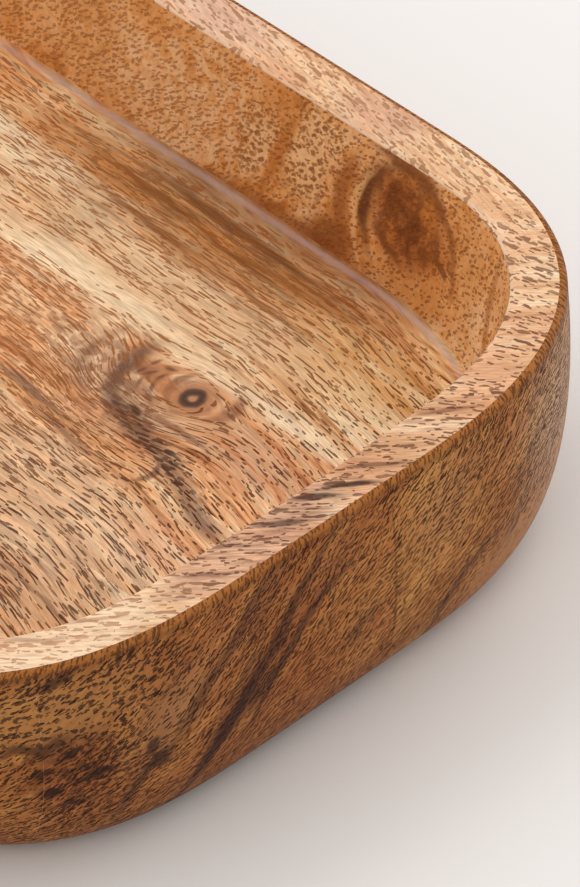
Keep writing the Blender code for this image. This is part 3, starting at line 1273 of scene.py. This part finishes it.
# Places along the boards and across them
FLOOR_FIGURES = (
    Figure("cream by the joint", (18, 45), 0, (80, 9), "#FFE9C2", 0.7, core=0.0),
    Figure("cream edge", (80, 43.6), 0, (38, 4), "#FFEAC6", 0.75, core=0.0),
    Figure("golden ground", (12, 72.5), 0, (75, 11), "#B87A3E", 0.55),
    Figure("golden end", (80, 64), 0, (32, 16), "#E6B26C", 0.5),
    Figure("smoky patch", (-3, 56), 78, (14, 9), "#A58660", 0.5, core=0.0),
    # A brown band along the cove: partly the wood's own colour, partly painted shade from the far wall
    Figure("brown by the cove", (30, 83.5), 0, (90, 7.5), "#8A5228", 0.65),
    Figure("dark streak by the cove", (20, 78), -1.5, (44, 1.8), "#764622", 0.8, 0.5),
    Figure("second dark streak", (2, 74), -1, (20, 1.3), "#7F4E28", 0.7),
    Figure("third dark streak", (34, 71.5), -3, (24, 1.2), "#85552E", 0.65),
    Figure("long brown line", (8, 66.5), 0, (26, 1.4), "#85562F", 0.75, -0.4),
    Figure("its end", (48, 65), -3, (24, 1.1), "#8E5F38", 0.65),
    Figure("brown line below", (42, 61.3), -1, (24, 0.9), "#97683F", 0.6),
    Figure("faint brown line", (30, 57), 1, (28, 0.8), "#A0734A", 0.55),
    Figure("reddish wood by the knot", (84, 30), -4, (24, 11), "#BC7A54", 0.5),
    Figure("pink wood", (88, 0), 0, (18, 11), "#DFA17D", 0.4),
    Figure("swirl, wide shade", (48, 27), -18, (36, 15), "#9A6648", 0.55, core=0.0),
    Figure("swirl, blotches", (42, 27), -15, (30, 15), "#80503A", 0.6, core=0.2, broken=Break.SPECKLED),
    Figure("swirl, outer arm", (31, 30), -76, (15, 3), "#7E523C", 0.6, -2.6, 0.1),
    Figure("swirl, inner arm", (40.5, 31), -80, (13, 4.2), "#604234", 0.7, -1.2, 0.0),
    Figure("swirl, head", (39.5, 38), 75, (7, 3.2), "#5E4236", 0.6, core=0.0),
    Figure("swirl, turn", (46, 24), -30, (9, 3.6), "#604438", 0.65, -0.5, 0.1),
    Figure("swirl, lower arm", (58, 20.8), -11, (18, 5), "#5E4236", 0.7, core=0.0),
    Figure("swirl, end of the arm", (73, 17), -14, (14, 4.6), "#644A3C", 0.65, core=0.0),
    Figure("swirl, tail", (84, 13.4), -24, (12, 4.0), "#644A3E", 0.6, core=0.1),
    Figure("swirl, smoky end", (91, 11), -8, (10, 4.0), "#77645B", 0.7, core=0.0),
    Figure("swirl, dark dash", (53.5, 24.4), -8, (3, 1.1), "#38261F", 0.85),
    Figure("swirl, dark flecks", (66, 19), -14, (32, 5), "#33201A", 0.85, broken=Break.SPOTTED),
    Figure("curl", (71.3, 13), -88, (6, 1.5), "#6A4534", 0.7, 2.6),
    Figure("violet line", (32, 13.4), -4, (20, 1.5), "#745041", 0.75, 0.4),
    Figure("second violet line", (47, 9.3), -6, (16, 1.3), "#785445", 0.7, 0.3),
    Figure("red line", (65, 26.2), 1, (15, 1.2), "#7B4C3B", 0.75, 0.9),
    Figure("dark line", (75, -14.6), -7, (26, 0.8), "#54341F", 0.75),
    Figure("second dark line", (84, -27), -5, (18, 0.8), "#4A2E1E", 0.75),
    Figure("third dark line", (70, -20.5), -5, (24, 0.7), "#6E4A31", 0.6),
    Figure("grey wood", (78, -29), -5, (26, 10), "#C49A76", 0.4),
    Figure("knot, left arc", (53.2, 36), 90, (7.5, 1.9), "#81533A", 0.75, 1.7),
    Figure("knot, right arc", (68.8, 37), 90, (7.5, 3.0), "#81523A", 0.75, -1.3),
    Figure("flecks left of the knot", (14, 27), 0, (22, 16), "#96603C", 0.55, core=0.4, broken=Break.SPOTTED),
    Figure("flecks below the swirl", (50, 8), -8, (34, 12), "#96633F", 0.5, broken=Break.SPOTTED),
    Figure("near streaks", (50, -10), -5, (70, 24), "#7A4422", 0.6, core=0.5, broken=Break.STREAKY),
    Figure(
        "lines across the pale board", (20, 60), 0, (60, 10), "#A06C3E", 0.5, core=0.5, broken=Break.STREAKY
    ),
    Figure("pale ground", (30, 56), 0, (85, 9), "#FFE2B6", 0.5, core=0.2),
    Figure("pale near ground", (58, -8), -4, (60, 22), "#F6D2AA", 0.45, core=0.3),
    Figure("streaks by the cove", (20, 75), 0, (70, 8), "#6E3E1A", 0.6, core=0.4, broken=Break.STREAKY),
    Figure("swirl, short arm", (47, 34), -65, (7, 2.2), "#8A5C40", 0.5, 0.8, 0.0),
    Figure("orange wood by the knot", (62, 32), 0, (18, 9), "#C68858", 0.5, core=0.1),
    Figure("knot, shade", (59, 35.5), 0, (10, 7), "#9A6240", 0.5, core=0.2),
    *(Figure("fleck", centre, angle, reach, "#6E4634", 0.7, core=0.2) for centre, angle, reach in FLECKS),
)

# Where the floor has few open pores
FLOOR_BARE = (
    Figure("bare cream wood", (10, 46), 0, (85, 5), None, 0.85, core=0.4),
    Figure("bare round the knot", (53, 35.5), 0, (16, 8.5), None, 1.0, core=0.5),
)

# Places along the boards and across them
RIM_FIGURES = (
    Figure("pale near end", (138, -60), 90, (30, 14), "#F6DCB8", 0.6, core=0.4),
    Figure("mauve stretch", (143, -17), 90, (25, 9), "#E2B08E", 0.7, core=0.4),
    Figure("grey stretch", (143, -4), 75, (10, 5), "#A8826C", 0.5, core=0.0),
    Figure("brown streaks", (143, -12), 90, (34, 9), "#8A4E30", 0.5, core=0.5, broken=Break.STREAKY),
    Figure("dark line", (144.2, 8.8), 54, (9, 1.3), "#35221A", 0.95, 0.8),
    Figure("second dark line", (141.8, 1.5), 50, (7.5, 1.4), "#402A22", 0.9, 0.5),
    Figure("third dark line", (143.5, 16.5), 52, (9, 1.1), "#533527", 0.8, 0.7),
    Figure("fourth dark line", (143, -8), 50, (8, 1.2), "#4C352C", 0.8),
    Figure("fifth dark line", (144, -27), 46, (8, 1.0), "#744C3C", 0.7),
    Figure("sixth dark line", (141, -19), 47, (7, 1.0), "#6E4A3C", 0.65),
    Figure("faint line", (142, 36), 55, (9, 1.0), "#7A4E38", 0.75),
    Figure("near line", (137, -51), 50, (9, 0.8), "#B08165", 0.6),
    Figure("nearest line", (133, -62), 45, (9, 1.0), "#9E7058", 0.6),
    Figure("mauve far side", (64, 90), 0, (18, 8), "#CDA188", 0.5),
    Figure("mauve back", (12, 90), 0, (24, 9), "#D0A894", 0.55),
    Figure("soft streaks", (143, 30), 90, (28, 9), "#B0764F", 0.45, core=0.5, broken=Break.STREAKY),
)

# Places across the boards and up the wall
WALL_FIGURES = (
    Figure("golden upper left", (-66, 47), 5, (27, 16), "#AE7A44", 0.6, core=0.2),
    Figure("smoky middle", (-43, 36), 50, (23, 12), "#9A7450", 0.45, core=0.0),
    Figure("orange foot", (-10, 9), 3, (75, 11), "#8C5022", 0.6, core=0.1),
    Figure("red brown by the joint", (0, 50), 42, (14, 8), "#8A552E", 0.4, core=0.0),
    Figure("tan right of the joint", (27, 43), 70, (20, 14), "#B07C4C", 0.5, core=0.1),
    # Painted shade: the wall darkens towards its foot, under its curve
    Figure("dark foot", (-20, 1), 0, (85, 6), "#482812", 0.7, core=0.1),
    Figure("left vein", (-29, 44.5), 47, (34, 2.8), "#63391E", 0.85, 0.6),
    Figure("left vein, foot", (-51.5, 18), 68, (15, 2.3), "#5A371F", 0.75, 0.8),
    Figure("red streak", (-19, 50), 48, (16, 2.6), "#7C4A28", 0.65),
    Figure("long vein", (-23, 31.8), 52.7, (54, 2.6), "#552E16", 0.85, 2.4),
    Figure("long vein, dark foot", (-31, 22), 56, (24, 3.0), "#34190B", 0.75, 0.6),
    Figure("second vein", (-13.4, 35.4), 46, (28, 1.9), "#4A2812", 0.85, 4.2),
    Figure("vein knot", (-22, 27), 50, (7.5, 2.8), "#34190B", 0.55, edge=Edge.RAGGED),
    Figure("third vein", (-26, 35), 47, (13, 0.9), "#5C3A22", 0.65),
    Figure("dark pores together", (5, 26.5), 35, (8, 3.4), "#4A2A15", 0.6, edge=Edge.RAGGED),
    Figure("smooth brown", (48, 13), 20, (24, 13), "#A06C40", 0.5),
    Figure("its outline", (31.3, 18.8), 47, (21, 1.9), "#5C3920", 0.8, 5.2),
    Figure("line beyond it", (50, 24), 70, (14, 2.0), "#7A5334", 0.6, 0.8),
    Figure("burl shade", (-64, 28), 80, (16, 11), "#8A4C24", 0.75),
    Figure("burl blotches", (-64, 28), 70, (16, 10), "#3A1C0C", 0.6, core=0.4, broken=Break.SPECKLED),
    Figure("burl eye, top", (-63.7, 35.5), 40, (3.8, 2.0), "#2A1408", 0.85, edge=Edge.RAGGED),
    Figure("burl eye, right", (-58.5, 27.5), 5, (4.6, 1.8), "#2A1408", 0.85, edge=Edge.RAGGED),
    Figure("burl eye, low", (-67.5, 24), 20, (3.2, 2.4), "#221006", 0.9),
    Figure("burl eye, lowest", (-63, 20.3), 10, (4.8, 2.0), "#2A1408", 0.8, edge=Edge.RAGGED),
    Figure("burl eye, left", (-69.5, 31), 20, (3.6, 1.8), "#2A1408", 0.8),
    Figure("burl, top edge", (-70, 38.5), 10, (10, 2.6), "#432412", 0.8, edge=Edge.RAGGED),
    Figure("spots", (-66, 48), 8, (32, 15), "#2A1408", 0.85, core=0.7, broken=Break.SPOTTED),
    Figure("spots below", (-58, 26), 80, (26, 13), "#2A1408", 0.75, core=0.4, broken=Break.SPOTTED),
    Figure("long spots by the rim", (-65.2, 55.5), 20, (6, 1.8), "#2B1910", 0.8),
    Figure("upper eye", (-48, 29), 60, (4.2, 2.7), "#2B1910", 0.8, edge=Edge.RAGGED),
    Figure("lower eye", (-46.5, 24), 20, (4.2, 2.8), "#2B1910", 0.8, edge=Edge.RAGGED),
    # Painted sheen: a grey reflection on the corner of the end wall
    Figure("grey corner", (68, 38), 85, (36, 24), "#B89A7C", 0.6, core=0.1),
    Figure("glue line", (13.9, 34), 90, (34, 0.45), "#5E331C", 0.6, core=0.4, edge=Edge.STRAIGHT),
    Figure("vein streaks", (-24, 31), 50, (32, 8), "#3A1C0C", 0.5, broken=Break.STREAKY),
    Figure("golden middle", (6, 34), 10, (26, 12), "#B57C40", 0.35, core=0.1),
)

# Where the wall has few open pores
WALL_BARE = (
    Figure("bare middle", (-43, 35), 52, (22, 10), None, 0.45, core=0.1),
    Figure("bare left", (-64, 45), 10, (24, 16), None, 0.7, core=0.5),
    Figure("bare lower right", (48, 13), 20, (22, 13), None, 0.85, core=0.4),
    Figure("bare right", (70, 22), 60, (22, 13), None, 0.6, core=0.3),
)

# Places along the boards and up the wall
WELL_FIGURES = (
    Figure("golden back", (-30, 38), 0, (45, 24), "#D9A468", 0.4),
    Figure("pale left patch", (6, 36), 50, (17, 10), "#EFC594", 0.55, core=0.0),
    Figure("orange patch", (15, 48), 50, (11, 7), "#D08C42", 0.6),
    Figure("blotches, left", (4, 36), 20, (40, 22), "#F2CC9E", 0.6, core=0.5, broken=Break.SPECKLED),
    Figure("pale dotted strip", (28, 36), 62, (16, 6), "#F0C894", 0.65),
    Figure("pale dotted patch", (45, 42), 62, (20, 10), "#F2CA96", 0.7),
    Figure("dots, patch", (46, 43), 60, (21, 11), "#8F5626", 0.85, core=0.6, broken=Break.SPOTTED),
    Figure("dots, strip", (28, 37), 60, (18, 8), "#8F5626", 0.8, core=0.5, broken=Break.SPOTTED),
    Figure("orange line", (35, 39), 62, (24, 2.6), "#C27A34", 0.8, 0.9),
    Figure("dark foot", (35, 18), 3, (45, 6), "#9A5826", 0.7),
    Figure("dark triangle", (49, 23), 25, (14, 7), "#8A4C1E", 0.8),
    Figure("swirl, outer shade", (55, 38), 74, (22, 3.4), "#9C5C2A", 0.75, 1.6),
    Figure("swirl, warm ground", (76, 42), 75, (20, 17), "#B4682A", 0.8, core=0.4),
    Figure("swirl, tan below", (76, 23), 5, (20, 8), "#C98A4A", 0.6),
    Figure("swirl, dark ground", (76, 40), 75, (18, 13), "#84481E", 0.5, core=0.2),
    Figure("swirl, left crescent", (62, 41.5), 71, (21, 3.6), "#552610", 0.9, 3.0),
    Figure("swirl, top shade", (77, 57), -6, (14, 3.6), "#743A16", 0.75),
    Figure("swirl, top right shade", (85.5, 53), -60, (7, 4), "#743A16", 0.75, edge=Edge.RAGGED),
    Figure("swirl, right crescent", (91.6, 44.6), 105.6, (17, 1.9), "#8A4E20", 0.65, -3.6),
    Figure("swirl, dark heart", (78, 41), 60, (6, 3), "#64300F", 0.7, edge=Edge.RAGGED),
    Figure("swirl, second heart", (71.5, 46), 70, (7, 2.6), "#6A3412", 0.75, edge=Edge.RAGGED),
    Figure("swirl, low shade", (69, 31.5), -40, (8, 3.4), "#7A4218", 0.75, edge=Edge.RAGGED),
    Figure("swirl, specks", (77, 43), 70, (17, 13), "#74401A", 0.6, core=0.5, broken=Break.SPECKLED),
    Figure("swirl, orange light", (83.5, 47), 80, (9, 4), "#D08238", 0.75),
    Figure("swirl, second light", (71, 37), 75, (7, 2.2), "#C47C36", 0.65),
    Figure("swirl, pale line", (58.7, 36.6), 75.6, (24, 1.6), "#EDBB80", 0.85, 6.0),
    Figure("dark specks beside it", (88, 37), 100, (7, 5), "#6A3814", 0.75, broken=Break.SPECKLED),
    Figure("tan right", (99, 40), 85, (24, 8), "#DBA062", 0.5),
    Figure("brown line in the corner", (109, 40), 80, (24, 2.2), "#A9682E", 0.65, 1.0),
    Figure("orange corner", (120, 42), 80, (26, 7), "#D08C44", 0.5),
    Figure("swirl, streaks", (75, 43), 70, (18, 14), "#62300F", 0.6, core=0.5, broken=Break.STREAKY),
)


def wood_finishes() -> dict[Surface, bpy.types.Material]:
    """Return the material of each surface of the tray."""
    figure = figure_group()
    tools = WoodTools(PoreShape().build(), figure, wall_grain_group(), FloorFlow().build(figure))
    rim = RimWood(
        "oiled_acacia_rim",
        tools,
        Tones("#BE845A", "#EBBB8E", "#FBE2BE", "#E8AA80", pore="#5A2C18", faint="#BE865C"),
        pores=(
            Pores(spacing=4.0, length=4.4, width=0.8, share=0.4, soft=0.1),
            Pores(spacing=2.4, length=2.4, width=0.5, share=0.8, soft=0.1),
            Pores(spacing=1.9, length=1.3, width=0.4, share=0.45, soft=0.2),
        ),
        stretch=(9.0, 1.0, 1.0),
        turn=(0.0, 0.0, math.radians(46)),
        plane=Plane.RIM,
        figures=RIM_FIGURES,
        fibre_range=(0.76, 1.16),
        line_share=0.5,
        pore_share=0.85,
    )
    outside = WallWood(
        "oiled_acacia_outside",
        tools,
        Tones("#824E26", "#A66C38", "#C08A4C", "#A0622C", pore="#2A1005", faint="#74431E"),
        pores=(
            Pores(spacing=1.35, length=1.8, width=0.36),
            Pores(spacing=2.2, length=2.6, width=0.42, share=0.7),
            Pores(spacing=1.2, length=1.1, width=0.3, share=0.5),
        ),
        stretch=(7.0, 7.0, 1.0),
        turn=(math.radians(42), 0.0, 0.0),
        plane=Plane.END_WALL,
        figures=WALL_FIGURES,
        bare=WALL_BARE,
        board_tones=("#F4E8DC", "#F2E4D8", "#F8E8DC", "#F8E6D8", "#FFF8EC", "#FBF0E2", "#F6EADC"),
        spots=Pores(spacing=2.0, length=1.6, width=0.8, layers=2, share=0.6, soft=0.3),
        fibre_range=(0.86, 1.12),
        gloss=0.12,
        pore_share=0.95,
    )
    well_wall = WellWallWood(
        "oiled_acacia_well_wall",
        tools,
        Tones("#BC783A", "#E8AA69", "#F8D09E", "#DA934C", pore="#763E16", faint="#BA7A42"),
        pores=(
            Pores(spacing=2.1, length=1.9, width=0.6, share=0.8, soft=0.6),
            Pores(spacing=1.6, length=1.1, width=0.42, share=0.6, soft=0.6),
        ),
        stretch=(2.0, 5.0, 4.0),
        turn=(0.0, math.radians(34), 0.0),
        plane=Plane.LONG_WALL,
        figures=WELL_FIGURES,
        spots=Pores(spacing=2.3, length=1.7, width=1.1, share=0.9, soft=0.5),
        speckle_scale=0.24,
        fibre_range=(0.88, 1.1),
        line_share=0.3,
        pore_share=0.8,
    )
    floor = FloorWood(
        "oiled_acacia_floor",
        tools,
        Tones("#A06A40", "#F2C292", "#FFF0D0", "#E8AE7A", pore="#4A1C02", faint="#9E6030"),
        pores=(
            Pores(spacing=1.2, length=8.0, width=0.36, share=0.6, stretch=5.5),
            Pores(spacing=1.8, length=3.6, width=0.5, share=0.5, soft=0.1, stretch=2.6),
            Pores(spacing=1.2, length=2.4, width=0.32, share=0.4, stretch=2.2),
        ),
        stretch=(14.0, 1.0, 1.0),
        figures=FLOOR_FIGURES,
        bare=FLOOR_BARE,
        spots=Pores(spacing=1.8, length=3.2, width=0.95, layers=2, share=0.6, soft=0.4, stretch=1.8),
        speckle_scale=0.3,
        board_tones=("#F4E6D8", "#F6EADC", "#F6E8DA", "#FCEEDE", "#F8E2D0", "#FFFAF0", "#FCEAD0"),
        fibre_range=(0.72, 1.18),
        ramp_reach=0.08,
        ramp_middle=0.47,
        line_share=0.5,
        gloss=0.1,
    )
    plain = OiledAcacia(
        "oiled_acacia_underside",
        tools,
        Tones("#8D6040", "#B0804F", "#C79A73", "#B07848", pore="#4E2C1B", faint="#7A4E30"),
        pores=(Pores(spacing=3.0, length=3.2, width=0.5, share=0.8),),
        stretch=(14.0, 1.0, 1.0),
    )
    woods = {
        Surface.OUTSIDE: outside,
        Surface.RIM: rim,
        Surface.WELL_WALL: well_wall,
        Surface.FLOOR: floor,
        Surface.UNDERSIDE: plain,
    }
    finishes = {surface: wood.finish() for surface, wood in woods.items()}
    return finishes | {Surface.GLUED_FACE: finishes[Surface.UNDERSIDE]}


@dataclass(frozen=True)
class PhotoCamera:
    """The camera, where a match to the rim, corners and glue lines of the photograph puts it."""

    image: tuple[int, int] = (580, 887)
    azimuth: float = math.radians(53.083)
    elevation: float = math.radians(41.369)
    roll: float = math.radians(-6.737)
    focal_pixels: float = 6000.0
    distance: float = 1177.58 * MM
    anchor: Triple = (150.0 * MM, 0.0, 40.0 * MM)
    anchor_pixel: tuple[float, float] = (345.17, 591.16)
    sensor: float = 36.0

    def build(self) -> bpy.types.Object:
        """Make the camera and put it to use.

        Returns:
            The camera.
        """
        level = math.cos(self.elevation)
        outward = (math.sin(self.azimuth) * level, -math.cos(self.azimuth) * level)
        back = Vector((*outward, math.sin(self.elevation)))
        right = UP.cross(back).normalized()
        upward = back.cross(right)
        turned_right = math.cos(self.roll) * right + math.sin(self.roll) * upward
        turned_up = math.cos(self.roll) * upward - math.sin(self.roll) * right
        across = (self.anchor_pixel[0] - self.image[0] / 2) / self.focal_pixels * self.distance
        down = (self.anchor_pixel[1] - self.image[1] / 2) / self.focal_pixels * self.distance
        data = bpy.data.cameras.new("photo_camera")
        data.sensor_width = self.sensor
        data.lens = self.focal_pixels * self.sensor / max(self.image)
        camera = bpy.data.objects.new("photo_camera", data)
        bpy.context.collection.objects.link(camera)
        place = Vector(self.anchor) - turned_right * across + turned_up * down + back * self.distance
        facing = Matrix((turned_right, turned_up, back)).transposed().to_4x4()
        camera.matrix_world = Matrix.Translation(place) @ facing
        bpy.context.scene.camera = camera
        return camera


@dataclass(frozen=True)
class SoftLight:
    """A large soft lamp that faces the tray."""

    name: str
    place: Triple
    width: float
    power: float
    colour: str
    aim: Triple = (100.0 * MM, 0.0, 20.0 * MM)

    def build(self) -> bpy.types.Object:
        """Make the lamp.

        Returns:
            The lamp.
        """
        data = bpy.data.lights.new(self.name, "AREA")
        data.shape = "DISK"
        data.size = self.width
        data.energy = self.power
        data.color = linear(self.colour)[:3]
        lamp = bpy.data.objects.new(self.name, data)
        bpy.context.collection.objects.link(lamp)
        lamp.location = self.place
        lamp.rotation_euler = (Vector(self.aim) - lamp.location).to_track_quat("-Z", "Y").to_euler()
        return lamp


@dataclass(frozen=True)
class Studio:
    """A pale floor under soft light, as in the photograph."""

    floor_half: float = 2.0
    floor_cuts: int = 7
    floor_colour: str = "#EEEBE8"
    floor_roughness: float = 0.85
    speck_scale: float = 6.0
    speck_detail: float = 4.0
    speck_range: Span = (0.97, 1.03)
    fill_colour: str = "#FCFAF8"
    fill_strength: float = 0.9
    shown_colour: str = "#F1EEEA"
    lamps: tuple[SoftLight, ...] = (
        SoftLight("window_light", (-0.6, -0.05, 1.3), width=0.7, power=3.6, colour="#F6F7FF"),
        SoftLight("far_soft_box", (0.25, 1.0, 1.1), width=1.2, power=3.6, colour="#FFFEFC"),
    )

    def lay_floor(self) -> bpy.types.Object:
        """Lay the floor, a matt white board with a faint unevenness that keeps it from looking flat.

        Returns:
            The floor.
        """
        bpy.ops.object.select_all(action="DESELECT")
        bpy.ops.mesh.primitive_plane_add(size=2 * self.floor_half, location=(0, 0, 0))
        floor = bpy.context.object
        floor.name = "studio_floor"
        bpy.ops.object.mode_set(mode="EDIT")
        bpy.ops.mesh.subdivide(number_cuts=self.floor_cuts)
        bpy.ops.object.mode_set(mode="OBJECT")
        material = bpy.data.materials.new("matt_white_board")
        material.use_nodes = True
        material.node_tree.nodes.clear()
        add = partial(add_node, material.node_tree)
        place = add(Kind.COORDINATES).outputs["Object"]
        feeds = {"Vector": place, "Scale": self.speck_scale, "Detail": self.speck_detail}
        speck = add(Kind.NOISE, feeds)
        low, high = self.speck_range
        shade = add(Kind.RANGE, {"Value": speck, "To Min": low, "To Max": high})
        feeds = {"Factor": 1.0, "A": linear(self.floor_colour), "B": shade}
        colour = add(Kind.MIX, feeds, data_type="RGBA", blend_type="MULTIPLY")
        shader = add(Kind.SHADER, {"Base Color": colour, "Roughness": self.floor_roughness})
        add(Kind.OUTPUT, {"Surface": shader})
        floor.data.materials.append(material)
        return floor

    def light_world(self) -> None:
        """Fill the studio with soft light, and show a plain pale background behind it."""
        world = bpy.data.worlds.new("pale_studio")
        bpy.context.scene.world = world
        world.use_nodes = True
        world.node_tree.nodes.clear()
        add = partial(add_node, world.node_tree)
        rays = add(Kind.RAYS).outputs
        seen = add(Kind.MATH, {0: rays["Is Camera Ray"], 1: rays["Is Glossy Ray"]}, operation="ADD")
        seen = add(Kind.MATH, {0: seen, 1: rays["Is Transmission Ray"]}, operation="ADD", use_clamp=True)
        fill = add(Kind.BACKGROUND, {"Color": linear(self.fill_colour), "Strength": self.fill_strength})
        shown = add(Kind.BACKGROUND, {"Color": linear(self.shown_colour)})
        mixed = add(Kind.MIX_SHADERS, {0: seen, 1: fill, 2: shown})
        add(Kind.WORLD_OUTPUT, {"Surface": mixed})

    def build(self) -> None:
        """Lay the floor and light it."""
        self.lay_floor()
        self.light_world()
        for lamp in self.lamps:
            lamp.build()
        bpy.context.scene.view_settings.view_transform = "Standard"


def main() -> None:
    """Build the camera, the tray and the studio."""
    logging.basicConfig(level=logging.INFO, format="%(message)s")
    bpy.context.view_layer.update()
    PhotoCamera().build()
    pieces = CarvedTray(FORM, BOARDS).build(wood_finishes())
    Studio().build()


if __name__ == "__main__":
    main()
